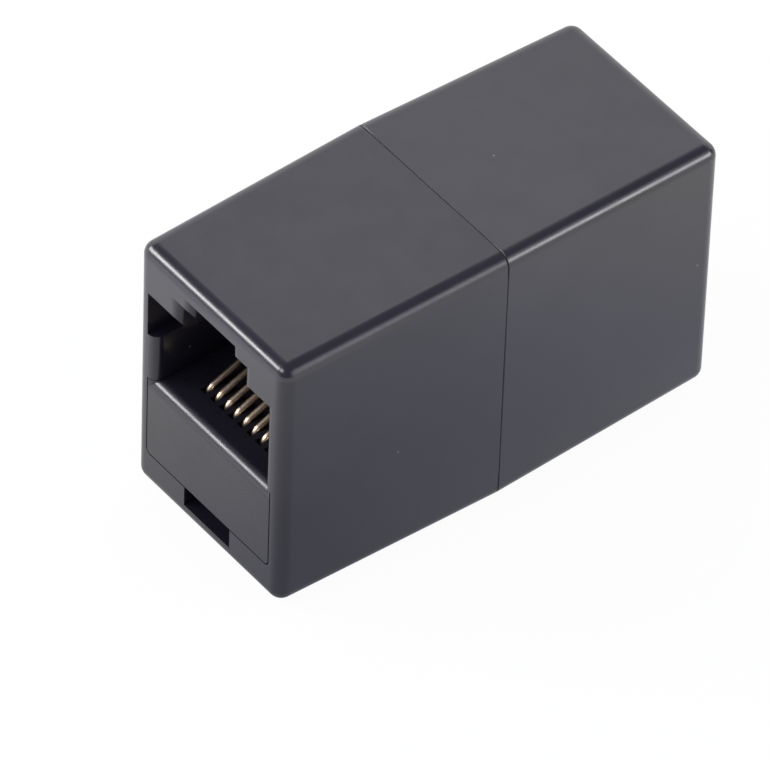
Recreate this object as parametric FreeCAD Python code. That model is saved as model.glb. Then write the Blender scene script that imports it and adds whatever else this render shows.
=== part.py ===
"""In-line coupler that joins two eight-contact modular plugs end to end.

Two moulded shells meet at a seam round the middle and taper towards the ports. Each end holds a contact
carrier with eight spring wires, and the wires of both ends are soldered to a board that stands between them.

The origin is under the middle of the seam. +Y runs along the length, +Z is up, on the latch side of the
ports, and +X completes the frame. The front port opens at -Y. Depths are measured inwards from the face
of the port end. All sizes are in millimetres.
"""

import FreeCAD
import Part
import math
import os

from FreeCAD import Vector

os.makedirs("parts", exist_ok=True)

# Plug and port
plug_width = 11.68
plug_clearance = 0.26
cavity_depth = 12.6
cavity_height = 6.96
key_half = 3.57
key_height = 1.7
notch_half = 2.22
notch_height = 0.9
latch_space = 0.35
lead_in_depth = 0.73
lead_in_rise = 1.04
mouth_round = 0.75
side_key_low = 4.15
side_key_width = 0.83

# Shell
end_wall = 1.6
side_wall = 0.83
skin = 1.3
notch_roof = 2.49
draft = 1.1
edge_radius = 1.0
seam_gap = 0.04
seam_bevel = 0.06
ledge = 1.1
rail_height = 1.74
rail_width = 1.0
slot_half = 2.55
seat_round = 0.4
inner_round = 0.5

# Lap joint and snap beads at the seam
lap_length = 2.0
lap_thickness = 0.5
lap_gap = 0.05
bead_width = 6.0
bead_radius = 0.4
bead_height = 0.15

# Contact carrier
fit_gap = 0.05
plate_gap = 0.1
carrier_wall = 0.7
plate_height = 7.05
plate_thickness = 1.8
deck_thickness = 1.8
deck_setback = 1.6
shoulder = 0.3
shoulder_length = 2.4
lip_round = 0.85
comb_thickness = 1.4
comb_height = 6.8
comb_slot_depth = 1.0
comb_bevel = 0.6
wire_slack = 0.05

# Contact wires
contact_count = 8
contact_pitch = 1.016
wire_radius = 0.23
wire_flats = 8
contact_rise = 22.5
nose_depth = 3.45
nose_radius = 0.7
nose_room = 0.3
tip_reach = 0.7
run_height = 0.6
tail_slant = 1.6
tail_setback = 3.0
tail_stub = 0.5

# Board and solder
board_thickness = 1.6
board_clearance = 0.3
tail_room = 4.0
row_spacing = 2.54
hole_slack = 0.1
solder_radius = 0.42
solder_height = 0.35
solder_rim = 0.03

# How far a cutting solid reaches past the material
overrun = 1.0

# Places across the width, from the middle outwards
cavity_half = plug_width / 2 + plug_clearance
insert_half = cavity_half + carrier_wall
cutout_half = insert_half + plate_gap
shoulder_half = cutout_half + shoulder
inner_half = shoulder_half + fit_gap
end_half = inner_half + side_wall
mouth_half = cavity_half + mouth_round

# Places along the length, as depths from the port end
insert_length = cavity_depth + comb_thickness + tail_room
half_length = insert_length + board_thickness / 2
end_y = -half_length
deck_length = insert_length - deck_setback
shell_length = half_length - seam_gap / 2
flare = half_length * math.tan(math.radians(draft))
seam_half = end_half + flare

# Heights, from the ground upwards
end_bottom = flare
floor_z = end_bottom + skin
rail_top = floor_z + rail_height
insert_bottom = rail_top + fit_gap
seat_bottom = insert_bottom - plate_gap
lip_z = insert_bottom + plate_height
deck_bottom = lip_z - deck_thickness
run_z = deck_bottom + run_height
carrier_top = lip_z + fit_gap
side_key_z = lip_z + side_key_low
comb_top = lip_z + comb_height
ceiling_z = lip_z + cavity_height
key_top = ceiling_z + key_height
notch_top = key_top + notch_height
end_top = notch_top + notch_roof
roof_z = end_top - skin
seam_top = end_top + flare


def mirrored(right_side):
    """Closed outline from its right half, listed from the bottom middle to the top middle."""
    left_side = [(-across, up) for across, up in reversed(right_side) if across > 0]
    return right_side + left_side


def rectangle(left, right, low, high):
    """Four corners of a rectangle."""
    return [(left, low), (right, low), (right, high), (left, high)]


def extruded(points, direction):
    """Solid swept from a closed outline of vectors."""
    return Part.Face(Part.makePolygon(points + points[:1])).extrude(direction)


def along_depth(outline, depth_from, depth_to):
    """Solid with an outline in x and z, between two depths."""
    points = [Vector(x, end_y + depth_from, z) for x, z in outline]
    return extruded(points, Vector(0, depth_to - depth_from, 0))


def across_width(outline, left, right):
    """Solid with an outline in depth and z, between two places across the width."""
    points = [Vector(left, end_y + depth, z) for depth, z in outline]
    return extruded(points, Vector(right - left, 0, 0))


def edges_where(shape, test):
    """Edges whose middle point passes a test."""
    return [edge for edge in shape.Edges if test(edge, edge.CenterOfMass)]


def lies_at(edge, depth):
    """True where an edge lies wholly at one depth."""
    box = edge.BoundBox
    place = end_y + depth
    return abs(box.YMin - place) < 1e-4 and abs(box.YMax - place) < 1e-4


def runs_inward(edge):
    """True for a straight edge that runs along the length."""
    box = edge.BoundBox
    return box.YLength > max(box.XLength, box.ZLength)


def lower_corners(shape, half, low):
    """Edges along the length at the two bottom corners of a section."""
    return edges_where(shape, lambda edge, middle: runs_inward(edge)
                       and abs(abs(middle.x) - half) < 1e-4
                       and abs(middle.z - low) < 1e-4)


def tapered_block():
    """Outside of one shell half: drafted on all four sides, rounded on every edge but the seam's."""
    loops = []
    for place, half, low, high in (
        (end_y, end_half, end_bottom, end_top),
        (-seam_gap / 2, seam_half, 0, seam_top),
    ):
        corners = [Vector(x, place, z) for x, z in rectangle(-half, half, low, high)]
        loops.append(Part.makePolygon(corners + corners[:1]))
    block = Part.makeLoft(loops, True, True)
    rounded = edges_where(block, lambda edge, middle: not lies_at(edge, shell_length))
    block = block.makeFillet(edge_radius, rounded)
    seam = edges_where(block, lambda edge, middle: lies_at(edge, shell_length))
    return block.makeChamfer(seam_bevel, seam)


def flared_way(half, low, high, depth_to):
    """Solid of a way into the port with upright sides, which flare to the end face over their rounding."""
    def at(x, depth):
        return Vector(x, end_y + depth, low)

    flared_half = half + mouth_round
    inset = mouth_round * math.cos(math.radians(45))
    edges = [
        Part.makeLine(at(-half, depth_to), at(half, depth_to)),
        Part.makeLine(at(-flared_half, -overrun), at(flared_half, -overrun)),
    ]
    for side in (-1, 1):
        start = at(side * flared_half, 0)
        middle = at(side * (flared_half - inset), mouth_round - inset)
        end = at(side * half, mouth_round)
        edges.append(Part.makeLine(at(side * flared_half, -overrun), start))
        edges.append(Part.Arc(start, middle, end).toShape())
        edges.append(Part.makeLine(end, at(side * half, depth_to)))
    plan = Part.Wire(Part.sortEdges(edges)[0])
    return Part.Face(plan).extrude(Vector(0, 0, high - low))


def sloped_way(left, right, low, top, depth_to):
    """Solid of a way into the port, whose ceiling slopes down from the end face to its inner height."""
    slope = lead_in_rise / lead_in_depth
    outline = [
        (-overrun, low),
        (-overrun, top + lead_in_rise + slope * overrun),
        (lead_in_depth, top),
        (depth_to, top),
        (depth_to, low),
    ]
    return across_width(outline, left, right)


def plug_step(half, top):
    """Opening in the end wall for one step of the plug's way, from the carrier's top up to its ceiling."""
    reach = end_wall + overrun
    outer = half + mouth_round
    return flared_way(half, carrier_top, end_top, reach).common(
        sloped_way(-outer, outer, carrier_top, top, reach))


def port_mouth():
    """Openings in the end wall: the slot, the seat of the carrier's plate, and the plug's stepped way."""
    reach = end_wall + overrun
    seat = along_depth(rectangle(-cutout_half, cutout_half, seat_bottom, carrier_top), -overrun, reach)
    seat = seat.makeFillet(seat_round + plate_gap, lower_corners(seat, cutout_half, seat_bottom))
    slot = along_depth(rectangle(-slot_half, slot_half, floor_z, seat_bottom), -overrun, reach)
    steps = ((cavity_half, ceiling_z), (key_half, key_top), (notch_half, notch_top))
    openings = [slot] + [plug_step(half, top) for half, top in steps]
    return seat.fuse(openings).removeSplitter()


def side_key():
    """Recess along the left of the plug's way, for the rib of a keyed plug."""
    return sloped_way(-cavity_half - side_key_width, 0, side_key_z, ceiling_z, cavity_depth)


def rail_zone_outline(top_half):
    """Inner outline from the rails on the floor up to a half outline of the ceiling."""
    rail_side = slot_half + rail_width
    outer_rail = inner_half - rail_width
    return mirrored([
        (0, floor_z),
        (slot_half, floor_z),
        (slot_half, rail_top),
        (rail_side, rail_top),
        (rail_side, floor_z),
        (outer_rail, floor_z),
        (outer_rail, rail_top),
        (inner_half, rail_top),
    ] + top_half)


def shell_hollow():
    """Inside of one shell half: rails below, and above them the plug's ceiling as far as the comb."""
    latch_top = notch_top + latch_space
    guided = along_depth(rail_zone_outline([
        (inner_half, carrier_top),
        (cavity_half, carrier_top),
        (cavity_half, ceiling_z),
        (key_half, ceiling_z),
        (key_half, latch_top),
        (0, latch_top),
    ]), end_wall, cavity_depth)
    open_top = along_depth(rail_zone_outline([
        (inner_half, roof_z),
        (0, roof_z),
    ]), cavity_depth, half_length + overrun)
    hollow = guided.fuse(open_top)
    pocket = rectangle(key_half + ledge, inner_half, ceiling_z + ledge, roof_z)
    for outline in (pocket, [(-x, z) for x, z in pocket]):
        core = along_depth(outline, end_wall, half_length)
        hollow = hollow.fuse(core)
    hollow = hollow.removeSplitter()
    corners = edges_where(hollow, lambda edge, middle: runs_inward(edge)
                          and abs(abs(middle.x) - inner_half) < 1e-4
                          and abs(middle.z - roof_z) < 1e-4)
    return hollow.makeFillet(inner_round, corners)


def lap_ring(spread, depth_from, depth_to):
    """Solid of the outline that the lap joint's faces share, wider by a spread."""
    half = inner_half + spread
    outline = rectangle(-half, half, floor_z - spread, roof_z + spread)
    ring = along_depth(outline, depth_from, depth_to)
    corners = edges_where(ring, lambda edge, middle: edge.BoundBox.YLength > 0.5 * (depth_to - depth_from))
    return ring.makeFillet(inner_round + spread, corners)


def snap_beads(growth):
    """Half-round beads on the top and bottom faces of the lap, larger by a growth."""
    radius = bead_radius + growth
    width = bead_width + 2 * growth
    inset = bead_radius - bead_height
    place = half_length + lap_length / 2
    beads = []
    for height in (floor_z - lap_thickness + inset, roof_z + lap_thickness - inset):
        start = Vector(-width / 2, end_y + place, height)
        beads.append(Part.makeCylinder(radius, width, start, Vector(1, 0, 0)))
    return beads


def moulded_shell():
    """One shell half up to the seam, before its side of the lap joint."""
    return tapered_block().cut([port_mouth(), side_key(), shell_hollow()]).removeSplitter()


def front_shell():
    """Shell half with the lap's tongue and beads."""
    tongue = lap_ring(lap_thickness, cavity_depth + comb_thickness, half_length + lap_length)
    for bead in snap_beads(0):
        tongue = tongue.fuse(bead)
    tongue = tongue.cut(lap_ring(0, cavity_depth, half_length + lap_length + overrun))
    return moulded_shell().fuse(tongue).removeSplitter()


def rear_shell():
    """Shell half with the rebate and pockets that take the tongue, turned round to the rear port."""
    shell = moulded_shell()
    shell.rotate(Vector(0, 0, 0), Vector(0, 0, 1), 180)
    rebate_end = half_length + lap_length + lap_gap
    rebate = lap_ring(lap_thickness + lap_gap, half_length - overrun, rebate_end)
    return shell.cut([rebate] + snap_beads(lap_gap))


def contact_places():
    """Places of the contacts across the width, from left to right."""
    first = -contact_pitch * (contact_count - 1) / 2
    return [first + contact_pitch * number for number in range(contact_count)]


def carrier_section(hollow_top):
    """Outline of the carrier across the width: a deck over a hollow that reaches up to a height."""
    if hollow_top <= insert_bottom:
        return rectangle(-insert_half, insert_half, insert_bottom, lip_z)
    return mirrored([
        (0, hollow_top),
        (cavity_half, hollow_top),
        (cavity_half, insert_bottom),
        (insert_half, insert_bottom),
        (insert_half, lip_z),
        (0, lip_z),
    ])


def comb_block():
    """Wall across the back of the plug cavity that holds the wire tips apart."""
    rear = cavity_depth + comb_thickness
    outline = [
        (cavity_depth, deck_bottom),
        (rear, deck_bottom),
        (rear, comb_top - comb_bevel),
        (rear - comb_bevel, comb_top),
        (cavity_depth + comb_bevel / 2, comb_top),
        (cavity_depth, comb_top - comb_bevel),
    ]
    half = cavity_half - fit_gap
    return across_width(outline, -half, half)


def tip_height(depth):
    """Height of a contact wire's middle on its rising run."""
    slope = math.radians(contact_rise)
    start_depth = nose_depth - nose_radius * math.sin(slope)
    start_z = run_z + nose_radius + nose_radius * math.cos(slope)
    return start_z + (depth - start_depth) * math.tan(slope)


def wire_passages(place):
    """Cuts for one wire: the slot at the nose, the groove under the deck and the comb's slot."""
    half = wire_radius + wire_slack
    slot_front = nose_depth - nose_radius - wire_radius - nose_room
    slot_rear = nose_depth + nose_radius + nose_room
    groove_top = run_z + half
    comb_high = tip_height(cavity_depth + tip_reach) + wire_radius + 2 * wire_slack
    comb_low = lip_z + nose_room
    outlines = (
        rectangle(slot_front, slot_rear, deck_bottom - overrun, lip_z + overrun),
        rectangle(slot_front, deck_length + overrun, deck_bottom - overrun, groove_top),
        rectangle(cavity_depth - overrun, cavity_depth + comb_slot_depth, comb_low, comb_high),
    )
    return [across_width(outline, place - half, place + half) for outline in outlines]


def front_plate():
    """Plate that fills the seat in the end wall, with its lip rounded between the feet of the cheeks."""
    plate = along_depth(rectangle(-insert_half, insert_half, insert_bottom, lip_z), 0, plate_thickness)
    low = lip_z - lip_round
    corner = across_width(rectangle(-overrun, lip_round, low, lip_z + overrun), -mouth_half, mouth_half)
    start = Vector(-mouth_half, end_y + lip_round, low)
    corner = corner.cut(Part.makeCylinder(lip_round, 2 * mouth_half, start, Vector(1, 0, 0)))
    return plate.cut(corner.common(flared_way(cavity_half, low, lip_z + overrun, plate_thickness)))


def contact_carrier():
    """Insert of one port: front plate, slotted deck, side walls and comb, in one moulding."""
    tray = along_depth(carrier_section(deck_bottom), plate_thickness, deck_length)
    pieces = [tray, comb_block()]
    flange_front = end_wall + fit_gap
    for side in (-1, 1):
        wall = [(side * x, z) for x, z in rectangle(cavity_half, insert_half, insert_bottom, lip_z)]
        pieces.append(along_depth(wall, deck_length, insert_length))
        flange = [(side * x, z) for x, z in rectangle(insert_half, shoulder_half, insert_bottom, lip_z)]
        pieces.append(along_depth(flange, flange_front, flange_front + shoulder_length))
    body = front_plate().fuse(pieces).removeSplitter()
    body = body.makeFillet(seat_round, lower_corners(body, insert_half, insert_bottom))
    passages = []
    for place in contact_places():
        passages += wire_passages(place)
    return body.cut(passages)


def ring_of_flats(middle, radius):
    """Outline round the middle of a wire, drawn with flats to keep its many bends and joints light."""
    corners = []
    for number in range(wire_flats):
        angle = 2 * math.pi * (number + 0.5) / wire_flats
        corners.append(middle + Vector(radius * math.cos(angle), 0, radius * math.sin(angle)))
    return Part.makePolygon(corners + corners[:1])


def contact_wire(number):
    """Spring wire: its tail at the board, the run under the deck, the nose and the rise to the comb."""
    place = contact_places()[number]
    slope = math.radians(contact_rise)
    nose_z = run_z + nose_radius
    tail_end = insert_length + board_thickness + tail_stub
    tip_depth = cavity_depth + tip_reach

    def at(depth, height):
        return Vector(place, end_y + depth, height)

    def on_bend(centre_depth, centre_z, radius, degrees):
        angle = math.radians(degrees)
        return at(centre_depth + radius * math.cos(angle), centre_z + radius * math.sin(angle))

    path = []
    if number % 2 == 0:
        path.append(Part.LineSegment(at(tail_end, run_z), at(nose_depth, run_z)))
    else:
        low_z = run_z - row_spacing
        drop = insert_length - tail_setback
        lower = at(drop + tail_slant / 2, low_z)
        upper = at(drop - tail_slant / 2, run_z)
        path.append(Part.LineSegment(at(tail_end, low_z), lower))
        path.append(Part.LineSegment(lower, upper))
        path.append(Part.LineSegment(upper, at(nose_depth, run_z)))
    nose = (nose_depth, nose_z, nose_radius)
    nose_end = 90 + contact_rise
    middle = (270 + nose_end) / 2
    path.append(Part.Arc(on_bend(*nose, 270), on_bend(*nose, middle), on_bend(*nose, nose_end)))
    path.append(Part.LineSegment(on_bend(*nose, nose_end), at(tip_depth, tip_height(tip_depth))))
    wire = Part.Wire([curve.toShape() for curve in path])
    section = ring_of_flats(path[0].StartPoint, wire_radius)
    return wire.makePipeShell([section], True, False, 1)


def tail_places():
    """Places of all sixteen tails as x, height, and the side of the board where each one ends."""
    places = []
    for number, place in enumerate(contact_places()):
        height = run_z if number % 2 == 0 else run_z - row_spacing
        places.append((place, height, 1))
        places.append((-place, height, -1))
    return places


def circuit_board():
    """Board between the carriers, with a hole for each tail."""
    outline = rectangle(-insert_half, insert_half, insert_bottom, roof_z - board_clearance)
    board = along_depth(outline, insert_length, insert_length + board_thickness)
    holes = []
    for x, z, side in tail_places():
        start = Vector(x, -board_thickness, z)
        holes.append(Part.makeCylinder(wire_radius + hole_slack, 2 * board_thickness, start, Vector(0, 1, 0)))
    return board.cut(holes)


def solder_joints():
    """Cone of solder round each tail, on the side of the board where the tail comes out."""
    cones = []
    for x, z, side in tail_places():
        foot = Vector(x, side * board_thickness / 2, z)
        top = foot + Vector(0, side * solder_height, 0)
        rings = [ring_of_flats(foot, solder_radius), ring_of_flats(top, wire_radius + solder_rim)]
        bore = Part.Face(ring_of_flats(foot, wire_radius)).extrude(top - foot)
        cones.append(Part.makeLoft(rings, True, True).cut(bore))
    return Part.makeCompound(cones)


def turned(shape):
    """Copy of a front piece, turned half round to the rear port."""
    copy = shape.copy()
    copy.rotate(Vector(0, 0, 0), Vector(0, 0, 1), 180)
    return copy


def build():
    """All pieces by name."""
    carrier = contact_carrier()
    pieces = {
        "front_shell": front_shell(),
        "rear_shell": rear_shell(),
        "front_insert": carrier,
        "rear_insert": turned(carrier),
        "circuit_board": circuit_board(),
        "solder_joints": solder_joints(),
    }
    for number in range(contact_count):
        wire = contact_wire(number)
        pieces[f"front_contact_{number + 1}"] = wire
        pieces[f"rear_contact_{number + 1}"] = turned(wire)
    return pieces


for name, shape in build().items():
    shape.exportStep(f"parts/{name}.step")
    box = shape.BoundBox
    print(f"{name}: {len(shape.Solids)} solid, valid {shape.isValid()}, {shape.Volume:.2f} mm3,"
          f" y {box.YMin:.2f} to {box.YMax:.2f}, z {box.ZMin:.2f} to {box.ZMax:.2f}")
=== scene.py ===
"""Studio view of an in-line coupler for two eight-contact modular plugs.

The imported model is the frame: two moulded shells, two contact carriers, sixteen spring wires, a small board
and its solder. This script dresses every piece with a procedural finish, and draws the wires again,
smooth and round in place of the frame's faceted ones. All lengths are in metres, in the frame's own axes:
+Y runs along the coupler, +Z is up and the origin is under the middle of the seam.
"""

import logging
import math
from dataclasses import dataclass
from enum import Enum

import bpy
import numpy as np
from mathutils import Matrix, Vector


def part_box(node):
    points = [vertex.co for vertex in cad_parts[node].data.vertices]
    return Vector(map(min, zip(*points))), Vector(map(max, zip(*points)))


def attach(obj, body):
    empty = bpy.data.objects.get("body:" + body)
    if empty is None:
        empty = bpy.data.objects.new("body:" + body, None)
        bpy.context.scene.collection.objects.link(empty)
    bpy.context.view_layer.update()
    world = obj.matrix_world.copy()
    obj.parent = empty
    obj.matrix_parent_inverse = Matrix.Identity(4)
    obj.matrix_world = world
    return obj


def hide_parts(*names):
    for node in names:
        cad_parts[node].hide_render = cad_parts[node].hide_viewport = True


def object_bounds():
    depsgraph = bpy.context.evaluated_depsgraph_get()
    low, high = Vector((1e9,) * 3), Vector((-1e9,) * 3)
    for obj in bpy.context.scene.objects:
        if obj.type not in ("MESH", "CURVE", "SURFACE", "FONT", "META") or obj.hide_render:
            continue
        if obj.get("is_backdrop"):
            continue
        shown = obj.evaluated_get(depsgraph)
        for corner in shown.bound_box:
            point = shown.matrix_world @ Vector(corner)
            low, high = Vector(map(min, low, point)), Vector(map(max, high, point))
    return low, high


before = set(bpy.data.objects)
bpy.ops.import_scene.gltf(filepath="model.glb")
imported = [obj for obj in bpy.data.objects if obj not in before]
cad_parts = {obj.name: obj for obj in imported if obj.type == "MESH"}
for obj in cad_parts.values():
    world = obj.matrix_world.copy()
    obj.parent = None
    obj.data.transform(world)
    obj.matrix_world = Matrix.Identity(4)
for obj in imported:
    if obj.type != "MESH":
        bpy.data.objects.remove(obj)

LOG = logging.getLogger("coupler")
MM = 0.001
BODY = "root"
PHOTO_PIXELS = 769
Triple = tuple[float, float, float]
Colour = Triple
Range = tuple[float, float]
WHITE: Colour = (1.0, 1.0, 1.0)
FULL: Range = (0.0, 1.0)


class End(Enum):
    """The two ends of the coupler, each with the factor on Y that carries a front wire onto it."""

    FRONT = 1
    REAR = -1

    @property
    def label(self) -> str:
        """Name of the end, as the frame's nodes use it."""
        return self.name.lower()


class Rays(Enum):
    """Kinds of ray that the table and the world tell apart."""

    CAMERA = "Is Camera Ray"
    GLOSSY = "Is Glossy Ray"
    TRANSMISSION = "Is Transmission Ray"


@dataclass(frozen=True)
class NodeGraph:
    """Short hand for building a material's or the world's nodes.

    Args:
        tree: The node tree that is filled.
    """

    tree: bpy.types.NodeTree

    def add(self, kind: str, **values: object) -> bpy.types.Node:
        """Adds a node and sets its properties.

        Args:
            kind: The node's type.
            **values: Properties of the node by name.

        Returns:
            The new node.
        """
        node = self.tree.nodes.new(kind)
        for name, value in values.items():
            setattr(node, name, value)
        return node

    def join(self, source: bpy.types.NodeSocket, target: bpy.types.NodeSocket) -> None:
        """Links an output to an input."""
        self.tree.links.new(source, target)

    def math(self, operation: str, *inputs: object) -> bpy.types.NodeSocket:
        """Adds a Math node.

        Args:
            operation: The operation's name.
            *inputs: Sockets or numbers for its inputs, in order.

        Returns:
            The result's socket.
        """
        node = self.add("ShaderNodeMath", operation=operation)
        for place, value in enumerate(inputs):
            if isinstance(value, bpy.types.NodeSocket):
                self.join(value, node.inputs[place])
            else:
                node.inputs[place].default_value = value
        return node.outputs[0]

    def place(self, stretch: Triple = (1.0, 1.0, 1.0),
              turn: Triple = (0.0, 0.0, 0.0)) -> bpy.types.NodeSocket:
        """Object coordinates, stretched and turned.

        Args:
            stretch: Factor along each axis.
            turn: Turn about each axis in degrees.

        Returns:
            The coordinates' socket.
        """
        coordinates = self.add("ShaderNodeTexCoord")
        mapping = self.add("ShaderNodeMapping")
        mapping.inputs["Scale"].default_value = stretch
        mapping.inputs["Rotation"].default_value = tuple(math.radians(angle) for angle in turn)
        self.join(coordinates.outputs["Object"], mapping.inputs["Vector"])
        return mapping.outputs["Vector"]

    def noise(self, where: bpy.types.NodeSocket, size: float, detail: float = 2.0,
              roughness: float = 0.5) -> bpy.types.NodeSocket:
        """Noise whose features are about a given size.

        Args:
            where: Coordinates.
            size: Size of a feature in metres.
            detail: Number of finer layers.
            roughness: Strength of the finer layers.

        Returns:
            The value's socket, about 0.5 on average.
        """
        node = self.add("ShaderNodeTexNoise")
        node.inputs["Scale"].default_value = 1.0 / size
        node.inputs["Detail"].default_value = detail
        node.inputs["Roughness"].default_value = roughness
        self.join(where, node.inputs["Vector"])
        return node.outputs["Fac"]

    def spread(self, value: bpy.types.NodeSocket, source: Range,
               target: Range = FULL) -> bpy.types.NodeSocket:
        """Maps a value from one range onto another and holds it there.

        Args:
            value: The value's socket.
            source: Range that is mapped.
            target: Range that it becomes.

        Returns:
            The mapped value's socket.
        """
        node = self.add("ShaderNodeMapRange")
        self.join(value, node.inputs["Value"])
        for name, number in zip(("From Min", "From Max", "To Min", "To Max"), (*source, *target)):
            node.inputs[name].default_value = number
        return node.outputs["Result"]

    def blend(self, share: bpy.types.NodeSocket, first: object, second: object) -> bpy.types.NodeSocket:
        """Mixes two colours.

        Args:
            share: Socket that says how much of the second colour is used.
            first: Colour or socket at 0.
            second: Colour or socket at 1.

        Returns:
            The mixed colour's socket.
        """
        node = self.add("ShaderNodeMix", data_type="RGBA")
        self.join(share, node.inputs["Factor"])
        for name, value in (("A", first), ("B", second)):
            socket = next(s for s in node.inputs if s.name == name and s.type == "RGBA")
            if isinstance(value, bpy.types.NodeSocket):
                self.join(value, socket)
            else:
                socket.default_value = (*value, 1.0)
        return next(s for s in node.outputs if s.type == "RGBA")

    def mix(self, share: bpy.types.NodeSocket | float, first: bpy.types.NodeSocket,
            second: bpy.types.NodeSocket) -> bpy.types.NodeSocket:
        """Mixes two shaders.

        Args:
            share: How much of the second shader is used, as a socket or a number.
            first: Shader at 0.
            second: Shader at 1.

        Returns:
            The mixed shader's socket.
        """
        node = self.add("ShaderNodeMixShader")
        if isinstance(share, bpy.types.NodeSocket):
            self.join(share, node.inputs["Fac"])
        else:
            node.inputs["Fac"].default_value = share
        self.join(first, node.inputs[1])
        self.join(second, node.inputs[2])
        return node.outputs[0]

    def bump(self, height: bpy.types.NodeSocket, distance: float,
             under: bpy.types.NodeSocket | None = None) -> bpy.types.NodeSocket:
        """Adds a Bump node.

        Args:
            height: Height between 0 and 1.
            distance: Height in metres of a value of 1.
            under: Normal of another bump that this one adds to.

        Returns:
            The normal's socket.
        """
        node = self.add("ShaderNodeBump")
        node.inputs["Distance"].default_value = distance
        node.inputs["Strength"].default_value = 1.0
        self.join(height, node.inputs["Height"])
        if under is not None:
            self.join(under, node.inputs["Normal"])
        return node.outputs["Normal"]


def new_material(name: str) -> tuple[bpy.types.Material, NodeGraph, bpy.types.Node]:
    """Makes an empty material with a Principled shader.

    Args:
        name: The material's name.

    Returns:
        The material, its graph and its shader node.
    """
    material = bpy.data.materials.new(name)
    material.use_nodes = True
    material.node_tree.nodes.clear()
    graph = NodeGraph(material.node_tree)
    shader = graph.add("ShaderNodeBsdfPrincipled")
    output = graph.add("ShaderNodeOutputMaterial")
    graph.join(shader.outputs["BSDF"], output.inputs["Surface"])
    return material, graph, shader


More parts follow.
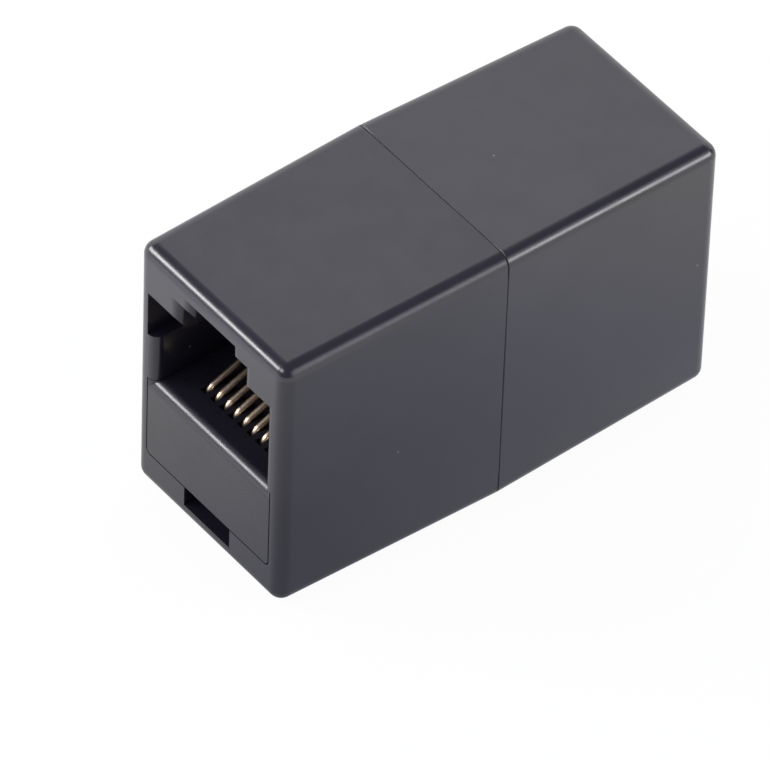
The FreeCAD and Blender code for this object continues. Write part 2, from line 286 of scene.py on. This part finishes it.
@dataclass(frozen=True)
class MouldedPlastic:
    """Black plastic with the fine grain of a spark-eroded mould, handling marks and a few grains of dust.

    The sinks are the slow waves of a moulded wall. The dust's radius is a share of its spacing, and the
    scratches' width is how far their noise may lie from its middle value.
    """

    name: str
    colour: Colour = (0.0096, 0.0086, 0.0142)
    lighter: Colour = (0.0126, 0.0114, 0.0176)
    seam_dust: Colour = (0.024, 0.024, 0.024)
    seam_reach: float = 0.07 * MM
    seam_height: float = 22.2 * MM
    seam_roughness: float = 0.4
    ior: float = 1.70
    roughness: float = 0.24
    roughness_swing: float = 0.03
    grain_size: float = 0.16 * MM
    grain_depth: float = 0.5e-6
    sink_size: float = 7.0 * MM
    sink_depth: float = 2.0e-6
    wear_size: float = 2.2 * MM
    cloud_range: Range = (0.35, 0.65)
    dust_spacing: float = 3.2 * MM
    dust_radius: float = 0.030
    dust_core: float = 0.6
    dust_cover: float = 0.8
    dust_colour: Colour = (0.16, 0.16, 0.16)
    scratch_depth: float = 0.10
    scratch_size: float = 0.5 * MM
    scratch_stretch: Triple = (1.0, 0.06, 1.0)
    scratch_turn: Triple = (0.0, 24.0, 0.0)
    scratch_width: float = 0.003
    patch_size: float = 6.0 * MM
    patch_edge: Range = (0.60, 0.70)

    def build(self) -> bpy.types.Material:
        """Returns the finished material."""
        material, graph, shader = new_material(self.name)
        where = graph.place()
        cloud = graph.noise(where, self.sink_size, detail=3.0)
        grain = graph.noise(where, self.grain_size, roughness=0.6)
        tone = graph.blend(graph.spread(cloud, self.cloud_range), self.colour, self.lighter)
        dust = self._dust(graph, where)
        seam, dusty = self._seam(graph)
        tone = graph.blend(dusty, tone, self.seam_dust)
        graph.join(graph.blend(dust, tone, self.dust_colour), shader.inputs["Base Color"])
        low = self.roughness - self.roughness_swing
        high = self.roughness + self.roughness_swing
        wear = graph.noise(where, self.wear_size, detail=4.0, roughness=0.6)
        worn = graph.spread(wear, self.cloud_range, (low, high))
        scratches = self._scratches(graph)
        marked = graph.math("ADD", worn, graph.math("MULTIPLY", scratches, self.scratch_depth))
        graph.join(graph.math("ADD", marked, graph.math("MULTIPLY", seam, self.seam_roughness)),
                   shader.inputs["Roughness"])
        sinks = graph.bump(cloud, self.sink_depth)
        graph.join(graph.bump(grain, self.grain_depth, sinks), shader.inputs["Normal"])
        shader.inputs["IOR"].default_value = self.ior
        return material

    def _dust(self, graph: NodeGraph, where: bpy.types.NodeSocket) -> bpy.types.NodeSocket:
        """Sparse round grains: the middles of Voronoi cells, wherever one lies near enough to the surface.

        Args:
            graph: The material's graph.
            where: Coordinates.

        Returns:
            Socket that is the dust's cover on a grain and 0 elsewhere.
        """
        cells = graph.add("ShaderNodeTexVoronoi")
        cells.inputs["Scale"].default_value = 1.0 / self.dust_spacing
        graph.join(where, cells.inputs["Vector"])
        edge = (self.dust_radius, self.dust_core * self.dust_radius)
        return graph.math("MULTIPLY", graph.spread(cells.outputs["Distance"], edge), self.dust_cover)

    def _seam(self, graph: NodeGraph) -> tuple[bpy.types.NodeSocket, bpy.types.NodeSocket]:
        """The narrow band of the seam, and the part of it on top where fine dust has settled.

        Args:
            graph: The material's graph.

        Returns:
            Two sockets that are 1 in the seam, and in its dusty part, and 0 elsewhere.
        """
        axes = graph.add("ShaderNodeSeparateXYZ")
        graph.join(graph.place(), axes.inputs["Vector"])
        near = graph.math("LESS_THAN", graph.math("ABSOLUTE", axes.outputs["Y"]), self.seam_reach)
        on_top = graph.math("GREATER_THAN", axes.outputs["Z"], self.seam_height)
        return near, graph.math("MULTIPLY", near, on_top)

    def _scratches(self, graph: NodeGraph) -> bpy.types.NodeSocket:
        """Hair-fine marks in patches: drawn-out noise, kept where it is nearly at its middle value.

        Args:
            graph: The material's graph.

        Returns:
            Socket between 0 and 1.
        """
        along = graph.place(self.scratch_stretch, self.scratch_turn)
        drawn = graph.noise(along, self.scratch_size, detail=1.0)
        line = graph.math("ABSOLUTE", graph.math("SUBTRACT", drawn, 0.5))
        patch = graph.spread(graph.noise(graph.place(), self.patch_size, detail=1.0), self.patch_edge)
        return graph.math("MULTIPLY", graph.spread(line, (self.scratch_width, 0.0)), patch)


@dataclass(frozen=True)
class GoldPlate:
    """Thin gold over nickel on drawn spring wire, with faint lines along the wire."""

    name: str
    colour: Colour = (0.95, 0.78, 0.58)
    worn: Colour = (0.84, 0.64, 0.46)
    smoothest: float = 0.28
    roughest: float = 0.38
    patch_size: float = 0.9 * MM
    patch_edge: Range = (0.4, 0.7)
    line_size: float = 0.05 * MM
    line_stretch: Triple = (1.0, 0.04, 1.0)
    line_depth: float = 0.6e-6
    line_range: Range = (0.3, 0.7)

    def build(self) -> bpy.types.Material:
        """Returns the finished material."""
        material, graph, shader = new_material(self.name)
        patches = graph.noise(graph.place(), self.patch_size, detail=3.0)
        lines = graph.noise(graph.place(self.line_stretch), self.line_size)
        share = graph.spread(patches, self.patch_edge)
        graph.join(graph.blend(share, self.colour, self.worn), shader.inputs["Base Color"])
        graph.join(graph.spread(lines, self.line_range, (self.smoothest, self.roughest)),
                   shader.inputs["Roughness"])
        graph.join(graph.bump(lines, self.line_depth), shader.inputs["Normal"])
        shader.inputs["Metallic"].default_value = 1.0
        return material


@dataclass(frozen=True)
class Laminate:
    """Glass-fibre board under a green lacquer, with the weave showing through.

    A Wave texture turns through wave_turn radians in each unit of length at scale 1.
    """

    name: str
    colour: Colour = (0.012, 0.070, 0.032)
    thread: Colour = (0.022, 0.105, 0.050)
    thread_pitch: float = 0.45 * MM
    wave_turn: float = 20.0
    weave_depth: float = 4.0e-6
    roughness: float = 0.35

    def build(self) -> bpy.types.Material:
        """Returns the finished material."""
        material, graph, shader = new_material(self.name)
        waves = []
        for axis in ("X", "Z"):
            wave = graph.add("ShaderNodeTexWave", wave_type="BANDS", bands_direction=axis)
            wave.inputs["Scale"].default_value = 1.0 / (self.wave_turn * self.thread_pitch) * 2.0 * math.pi
            graph.join(graph.place(), wave.inputs["Vector"])
            waves.append(wave.outputs["Fac"])
        weave = graph.math("MULTIPLY", *waves)
        graph.join(graph.blend(weave, self.colour, self.thread), shader.inputs["Base Color"])
        graph.join(graph.bump(weave, self.weave_depth), shader.inputs["Normal"])
        shader.inputs["Roughness"].default_value = self.roughness
        return material


@dataclass(frozen=True)
class Solder:
    """Tin solder: bright, with the slight frost of a cooled joint."""

    name: str
    colour: Colour = (0.62, 0.62, 0.60)
    dull_share: float = 0.8
    frost_size: float = 0.12 * MM
    frost_depth: float = 3.0e-6
    frost_range: Range = (0.3, 0.7)
    roughness: Range = (0.22, 0.42)

    def build(self) -> bpy.types.Material:
        """Returns the finished material."""
        material, graph, shader = new_material(self.name)
        frost = graph.noise(graph.place(), self.frost_size, detail=3.0)
        graph.join(graph.spread(frost, self.frost_range, self.roughness), shader.inputs["Roughness"])
        graph.join(graph.bump(frost, self.frost_depth), shader.inputs["Normal"])
        tone = graph.blend(frost, self.colour, tuple(self.dull_share * part for part in self.colour))
        graph.join(tone, shader.inputs["Base Color"])
        shader.inputs["Metallic"].default_value = 1.0
        return material


def dress(piece: bpy.types.Object, material: bpy.types.Material) -> None:
    """Puts one material in every slot of a piece.

    Args:
        piece: A mesh object.
        material: Its finish.
    """
    if not piece.data.materials:
        piece.data.materials.append(material)
    for place in range(len(piece.data.materials)):
        piece.data.materials[place] = material


def surface(name: str, points: np.ndarray, material: bpy.types.Material) -> bpy.types.Object:
    """Makes a closed piece from rings of points, with every ring joined to the next one.

    The point of ring i and place j is points[i, j]. Each face joins (i, j), (i+1, j), (i+1, j+1) and
    (i, j+1), with j counted round the ring, so that a ring that runs clockwise as seen from the next one
    has its faces outwards. The first and last rings are closed by a single face each.

    Args:
        name: The piece's name.
        points: Array of rings by places by three coordinates.
        material: The piece's finish.

    Returns:
        The linked object, smooth shaded.
    """
    rings, places = points.shape[:2]
    i, j = np.meshgrid(np.arange(rings - 1), np.arange(places), indexing="ij")
    following = (j + 1) % places
    faces = np.stack([i * places + j, (i + 1) * places + j,
                      (i + 1) * places + following, i * places + following], axis=-1).reshape(-1, 4)
    last = (rings - 1) * places
    caps = [list(range(places)), list(range(last, last + places))[::-1]]
    mesh = bpy.data.meshes.new(name)
    mesh.from_pydata(points.reshape(-1, 3).tolist(), [], faces.tolist() + caps)
    mesh.polygons.foreach_set("use_smooth", np.ones(len(mesh.polygons), bool))
    mesh.materials.append(material)
    mesh.validate()
    mesh.update()
    piece = bpy.data.objects.new(name, mesh)
    bpy.context.scene.collection.objects.link(piece)
    return piece


@dataclass
class ContactRow:
    """The eight spring wires of one port.

    A wire runs in one plane across the width: from its tail at the board, along the underside of the
    carrier's deck, round the nose, and up over the deck to its tip between the teeth of the comb. Some
    wires have their tail in a lower row, and step up on their way. The frame's wires have eight flats, which
    lie at the facet share of the radius.
    """

    end: End
    count: int = 8
    radius: float = 0.23 * MM
    nose_radius: float = 0.70 * MM
    bend_radius: float = 0.60 * MM
    slope: float = math.radians(22.5)
    row_drop: float = 2.54 * MM
    drop_setback: float = 3.0 * MM
    drop_slant: float = 1.6 * MM
    facet_share: float = math.cos(math.pi / 8)
    dome_height: float = 0.35
    dome_angles: tuple[float, ...] = (80.0, 60.0, 40.0, 20.0)
    sides: int = 32
    nose_steps: int = 48
    bend_steps: int = 16

    def bend(self, corner: np.ndarray, before: np.ndarray, after: np.ndarray) -> np.ndarray:
        """Rounds one corner of a path with an arc of the bend radius.

        The arc touches both runs at radius times the tangent of half the turn from the corner, and its
        points are the middle of the circle plus the radius at angles spread evenly over the turn.

        Args:
            corner: The corner, as depth and height.
            before: Unit vector of the run that reaches it.
            after: Unit vector of the run that leaves it.

        Returns:
            Array of points on the arc.
        """
        turn = math.acos(float(np.clip(before @ after, -1.0, 1.0)))
        side = math.copysign(1.0, before[0] * after[1] - before[1] * after[0])
        start = corner - before * self.bend_radius * math.tan(turn / 2)
        middle = start + side * self.bend_radius * np.array([-before[1], before[0]])
        first = math.atan2(*(start - middle)[::-1])
        angles = first + side * np.linspace(0.0, turn, self.bend_steps)
        return middle + self.bend_radius * np.stack([np.cos(angles), np.sin(angles)], axis=1)

    def centre_line(self, low: Vector, high: Vector, dropped: bool) -> np.ndarray:
        """Middle line of a front wire, as places along the length and heights.

        Args:
            low: Lowest corner of the frame's wire.
            high: Highest corner of the frame's wire.
            dropped: True for a wire of the lower row of tails.

        Returns:
            Array of points from the tail to the tip.
        """
        tail_depth, nose_tip = sorted((abs(low.y), abs(high.y)))
        half = self.radius * self.facet_share
        run = low.z + half + (self.row_drop if dropped else 0.0)
        start = np.array([-tail_depth, run])
        points = []
        if dropped:
            down = np.array([0.0, self.row_drop])
            middle = -(self.board_face() + self.drop_setback)
            lower = np.array([middle + self.drop_slant / 2, run]) - down
            upper = np.array([middle - self.drop_slant / 2, run])
            slant = (upper - lower) / np.linalg.norm(upper - lower)
            forward = np.array([-1.0, 0.0])
            points.append(start[None, :] - down)
            points.append(self.bend(lower, forward, slant))
            points.append(self.bend(upper, slant, forward))
        else:
            points.append(start[None, :])
        nose = np.array([-(nose_tip - half - self.nose_radius), run + self.nose_radius])
        angles = np.linspace(1.5 * math.pi, 0.5 * math.pi + self.slope, self.nose_steps)
        points.append(nose + self.nose_radius * np.stack([np.cos(angles), np.sin(angles)], axis=1))
        rise = np.array([math.cos(self.slope), math.sin(self.slope)])
        nose_end = points[-1][-1]
        tip_z = high.z - half * math.cos(self.slope)
        points.append(nose_end[None, :] + rise * (tip_z - nose_end[1]) / rise[1])
        return np.concatenate(points)

    def board_face(self) -> float:
        """Distance of the board's face from the middle of the coupler."""
        low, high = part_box("circuit_board")
        return (high.y - low.y) / 2

    def tube(self, line: np.ndarray, place: float) -> np.ndarray:
        """Round wire about a middle line in one plane.

        The point at angle a is the line's point plus the radius times cos a across the width and
        sin a along the line's own normal. Both ends close over a short dome.

        Args:
            line: Middle line as places along the length and heights.
            place: Place of the wire across the width.

        Returns:
            Array of rings by places by three coordinates.
        """
        steps = np.gradient(line, axis=0)
        steps /= np.linalg.norm(steps, axis=1, keepdims=True)
        dome = np.radians(self.dome_angles)
        ends = []
        for point, outward in ((line[0], -steps[0]), (line[-1], steps[-1])):
            ends.append(point + outward * (self.dome_height * self.radius * np.sin(dome))[:, None])
        centres = np.concatenate([ends[0], line, ends[1][::-1]])
        widths = np.concatenate([np.cos(dome), np.ones(len(line)), np.cos(dome)[::-1]]) * self.radius
        rounds = len(dome)
        along = np.concatenate([np.repeat(steps[:1], rounds, 0), steps, np.repeat(steps[-1:], rounds, 0)])
        normal = np.stack([-along[:, 1], along[:, 0]], axis=1)
        angles = np.linspace(0.0, 2 * math.pi, self.sides, endpoint=False)
        rings = np.empty((len(centres), self.sides, 3))
        rings[:, :, 0] = place + widths[:, None] * np.cos(angles)
        in_plane = widths[:, None, None] * np.sin(angles)[None, :, None] * normal[:, None, :]
        rings[:, :, 1:] = centres[:, None, :] + in_plane
        rings[:, :, 1] *= self.end.value
        return rings

    def build(self, material: bpy.types.Material) -> list[bpy.types.Object]:
        """Makes the eight wires and hides the frame's wires in their place.

        Args:
            material: The wires' finish.

        Returns:
            The eight pieces.
        """
        pieces = []
        for number in range(1, self.count + 1):
            node = f"{self.end.label}_contact_{number}"
            low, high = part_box(node)
            line = self.centre_line(low, high, number % 2 == 0)
            rings = self.tube(line, (low.x + high.x) / 2)
            if self.end is End.REAR:
                rings = rings[:, ::-1]
            piece = surface(f"{self.end.label}_wire_{number}", rings, material)
            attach(piece, BODY)
            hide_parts(node)
            pieces.append(piece)
        return pieces


@dataclass
class Coupler:
    """The whole coupler: the frame's moulded pieces and board, and the wires drawn again."""

    shell: MouldedPlastic = MouldedPlastic("Housing plastic")
    insert: MouldedPlastic = MouldedPlastic("Insert plastic", roughness=0.29, dust_radius=0.02)
    gold: GoldPlate = GoldPlate("Contact gold")
    board: Laminate = Laminate("Board laminate")
    solder: Solder = Solder("Tin solder")

    def build(self) -> None:
        """Dresses the frame's pieces and makes the new ones."""
        finishes = {
            "shell": self.shell.build(),
            "insert": self.insert.build(),
            "circuit_board": self.board.build(),
            "solder_joints": self.solder.build(),
        }
        for name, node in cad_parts.items():
            for word, material in finishes.items():
                if name.endswith(word):
                    dress(node, material)
                    LOG.info("dressed %s", name)
        gold = self.gold.build()
        for end in End:
            for piece in ContactRow(end).build(gold):
                LOG.info("made %s", piece.name)


@dataclass(frozen=True)
class SoftLight:
    """A rectangular studio light that faces the coupler.

    Args:
        name: The light's name.
        towards: Direction from the coupler to the light.
        distance: Distance of the light in metres.
        width: Width in metres, level with the floor.
        height: Height in metres.
        radiance: Brightness of its face, where 1 is white.
        colour: Its tint.
    """

    name: str
    towards: Triple
    distance: float
    width: float
    height: float
    radiance: float
    colour: Colour = WHITE

    def build(self, centre: Vector) -> bpy.types.Object:
        """Adds the light.

        A face of radiance L and area A sends out pi times L times A watts.

        Args:
            centre: Point that it faces.

        Returns:
            The light's object.
        """
        data = bpy.data.lights.new(self.name, "AREA")
        data.shape = "RECTANGLE"
        data.size = self.width
        data.size_y = self.height
        data.energy = math.pi * self.radiance * self.width * self.height
        data.color = self.colour
        light = bpy.data.objects.new(self.name, data)
        direction = Vector(self.towards).normalized()
        light.location = centre + direction * self.distance
        light.rotation_euler = direction.to_track_quat("Z", "Y").to_euler()
        bpy.context.scene.collection.objects.link(light)
        return light


@dataclass(frozen=True)
class PhotoCamera:
    """Camera at the photograph's angle, from a long way off through a long lens.

    Azimuth 0 looks along +Y, and all angles are in degrees. The roll turns the picture, and the slides move
    the camera along its own right and up axes. The sensor is in millimetres, as Blender has it.
    """

    azimuth: float = 50.6013
    elevation: float = 44.828
    roll: float = 2.1615
    distance: float = 705.8865 * MM
    focal_pixels: float = 10290.15
    slide_right: float = -2.8858 * MM
    slide_up: float = -4.0788 * MM
    aim_height: float = 10.0 * MM
    sensor: float = 36.0
    nearest: float = 0.01
    farthest: float = 10.0

    def build(self) -> bpy.types.Object:
        """Adds the camera and makes it the scene's.

        Returns:
            The camera's object.
        """
        azimuth, elevation, roll = (math.radians(a) for a in (self.azimuth, self.elevation, self.roll))
        back = Vector((math.sin(azimuth) * math.cos(elevation),
                       -math.cos(azimuth) * math.cos(elevation),
                       math.sin(elevation)))
        level = Vector((math.cos(azimuth), math.sin(azimuth), 0.0))
        upright = back.cross(level)
        right = level * math.cos(roll) + upright * math.sin(roll)
        up = upright * math.cos(roll) - level * math.sin(roll)
        data = bpy.data.cameras.new("Photo camera")
        data.sensor_width = self.sensor
        data.lens = self.focal_pixels / PHOTO_PIXELS * self.sensor
        data.clip_start = self.nearest
        data.clip_end = self.farthest
        camera = bpy.data.objects.new("Photo camera", data)
        place = back * self.distance + right * self.slide_right + up * self.slide_up
        place.z += self.aim_height
        turn = Matrix((right, up, back)).transposed().to_4x4()
        camera.matrix_world = Matrix.Translation(place) @ turn
        bpy.context.scene.collection.objects.link(camera)
        bpy.context.scene.camera = camera
        return camera


@dataclass(frozen=True)
class Studio:
    """White table, dim surroundings and soft lights.

    The camera sees the table as plain white with a trace of the coupler's shadow. Gloss sees it warm white,
    with painted bluish shade close by on the right, and with a painted soft grey shade near the front right
    corner, where the photograph's table is in shade. Further off to the front left, gloss sees the table's
    lit paint.
    """

    table_size: float = 3.0
    table_colour: Colour = (0.86, 0.86, 0.86)
    warm_white: Colour = (1.0, 0.99, 0.97)
    shaded_colour: Colour = (0.385, 0.39, 0.45)
    # painted bluish shade on the table as gloss sees it, close by on the coupler's right side
    right_shade_colour: Colour = (0.745, 0.765, 0.86)
    right_shade_across: Range = (-5.0 * MM, 12.0 * MM)
    right_shade_away: Range = (24.0 * MM, 42.0 * MM)
    shade_place: Triple = (12.0 * MM, -17.0 * MM, 0.0)
    shade_reach: float = 36.0 * MM
    lit_towards: Triple = (-0.6, -0.8, 0.0)
    lit_from: Range = (26.0 * MM, 45.0 * MM)
    surround: Colour = (0.26, 0.26, 0.33)
    ambient: Colour = (0.54, 0.56, 0.68)
    shadow_share: float = 0.05
    lights: tuple[SoftLight, ...] = (
        SoftLight("Front strip", (-0.637, -0.624, 0.455), 0.3, 0.12, 0.078, 14.8),
        SoftLight("Front wall", (-0.60, -0.79, 0.12), 0.6, 0.80, 0.17, 0.6),
        SoftLight("Port light", (-0.12, -0.76, 0.64), 0.3, 0.14, 0.09, 5.5),
        SoftLight("Back wall", (-0.692, 0.575, 0.438), 0.8, 2.40, 0.78, 0.99, (0.99, 0.99, 0.99)),
        SoftLight("Side strip", (0.726, 0.618, 0.300), 0.6, 0.227, 0.19, 6.1),
        SoftLight("Side wall", (0.821, 0.436, 0.366), 0.6, 0.60, 0.46, 0.95, (0.98, 0.97, 1.04)),
    )

    def rays(self, graph: NodeGraph, kinds: tuple[Rays, ...]) -> bpy.types.NodeSocket:
        """Tells some kinds of ray from all others.

        Args:
            graph: The graph that is built.
            kinds: Kinds of ray.

        Returns:
            Socket that is 1 for those rays and 0 for others.
        """
        path = graph.add("ShaderNodeLightPath")
        share = path.outputs[kinds[0].value]
        for kind in kinds[1:]:
            share = graph.math("MAXIMUM", share, path.outputs[kind.value])
        return share

    def shade(self, graph: NodeGraph) -> bpy.types.NodeSocket:
        """Colour of the table to gloss: warm white, painted bluish shade on the right, painted grey shade
        towards the shaded place.

        Args:
            graph: The table's graph.

        Returns:
            The colour's socket.
        """
        coordinates = graph.add("ShaderNodeTexCoord").outputs["Object"]
        mapping = graph.add("ShaderNodeMapping", vector_type="TEXTURE")
        mapping.inputs["Location"].default_value = self.shade_place
        mapping.inputs["Scale"].default_value = (self.shade_reach,) * 3
        graph.join(coordinates, mapping.inputs["Vector"])
        ball = graph.add("ShaderNodeTexGradient", gradient_type="SPHERICAL")
        graph.join(mapping.outputs["Vector"], ball.inputs["Vector"])
        across = graph.add("ShaderNodeSeparateXYZ")
        graph.join(coordinates, across.inputs["Vector"])
        right = graph.spread(across.outputs["X"], self.right_shade_across)
        away = graph.add("ShaderNodeVectorMath", operation="LENGTH")
        graph.join(coordinates, away.inputs[0])
        near = graph.spread(away.outputs["Value"], self.right_shade_away, (1.0, 0.0))
        # painted bluish shade close by on the right, then painted grey shade towards the shaded place
        base = graph.blend(graph.math("MULTIPLY", right, near), self.warm_white, self.right_shade_colour)
        return graph.blend(ball.outputs["Fac"], base, self.shaded_colour)

    def lit_share(self, graph: NodeGraph) -> bpy.types.NodeSocket:
        """How much of the lit paint gloss sees: all of it some way off to the front left, elsewhere none.

        Args:
            graph: The table's graph.

        Returns:
            The share's socket.
        """
        dot = graph.add("ShaderNodeVectorMath", operation="DOT_PRODUCT")
        graph.join(graph.add("ShaderNodeTexCoord").outputs["Object"], dot.inputs[0])
        dot.inputs[1].default_value = self.lit_towards
        return graph.spread(dot.outputs["Value"], self.lit_from)

    def table(self) -> bpy.types.Object:
        """Adds the table, which camera, gloss and other rays each see in their own way.

        Returns:
            The table's object.
        """
        mesh = bpy.data.meshes.new("Table")
        half = self.table_size / 2
        mesh.from_pydata([(-half, -half, 0), (half, -half, 0), (half, half, 0), (-half, half, 0)],
                         [], [(0, 1, 2, 3)])
        table = bpy.data.objects.new("Table", mesh)
        bpy.context.scene.collection.objects.link(table)
        material = bpy.data.materials.new("Table white")
        material.use_nodes = True
        material.node_tree.nodes.clear()
        graph = NodeGraph(material.node_tree)
        paint = graph.add("ShaderNodeBsdfDiffuse")
        paint.inputs["Color"].default_value = (*self.table_colour, 1.0)
        white = graph.add("ShaderNodeEmission")
        mirrored = graph.add("ShaderNodeEmission")
        # gloss sees this emission, whose colour holds the painted shade
        graph.join(self.shade(graph), mirrored.inputs["Color"])
        seen = graph.mix(1.0 - self.shadow_share, paint.outputs[0], white.outputs[0])
        reflected = graph.mix(self.lit_share(graph), mirrored.outputs[0], paint.outputs[0])
        indirect = graph.mix(self.rays(graph, (Rays.GLOSSY, Rays.TRANSMISSION)), paint.outputs[0], reflected)
        mix = graph.mix(self.rays(graph, (Rays.CAMERA,)), indirect, seen)
        output = graph.add("ShaderNodeOutputMaterial")
        graph.join(mix, output.inputs["Surface"])
        mesh.materials.append(material)
        table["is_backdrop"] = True
        return table

    def surroundings(self) -> None:
        """Sets the world: white to the camera and through glass, dim and slightly blue to all other rays."""
        world = bpy.data.worlds.new("Surroundings")
        bpy.context.scene.world = world
        world.use_nodes = True
        world.node_tree.nodes.clear()
        graph = NodeGraph(world.node_tree)
        dim = graph.blend(self.rays(graph, (Rays.GLOSSY,)), self.ambient, self.surround)
        colour = graph.blend(self.rays(graph, (Rays.CAMERA, Rays.TRANSMISSION)), dim, WHITE)
        background = graph.add("ShaderNodeBackground")
        graph.join(colour, background.inputs["Color"])
        output = graph.add("ShaderNodeOutputWorld")
        graph.join(background.outputs[0], output.inputs["Surface"])

    def build(self) -> None:
        """Adds the table, the surroundings and the lights."""
        low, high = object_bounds()
        self.surroundings()
        self.table()
        for light in self.lights:
            light.build((low + high) / 2)


def main() -> None:
    """Builds the coupler, the studio and the camera."""
    logging.basicConfig(level=logging.INFO, format="%(name)s: %(message)s")
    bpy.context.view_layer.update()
    Coupler().build()
    Studio().build()
    PhotoCamera().build()
    bpy.context.scene.view_settings.view_transform = "Standard"


if __name__ == "__main__":
    main()
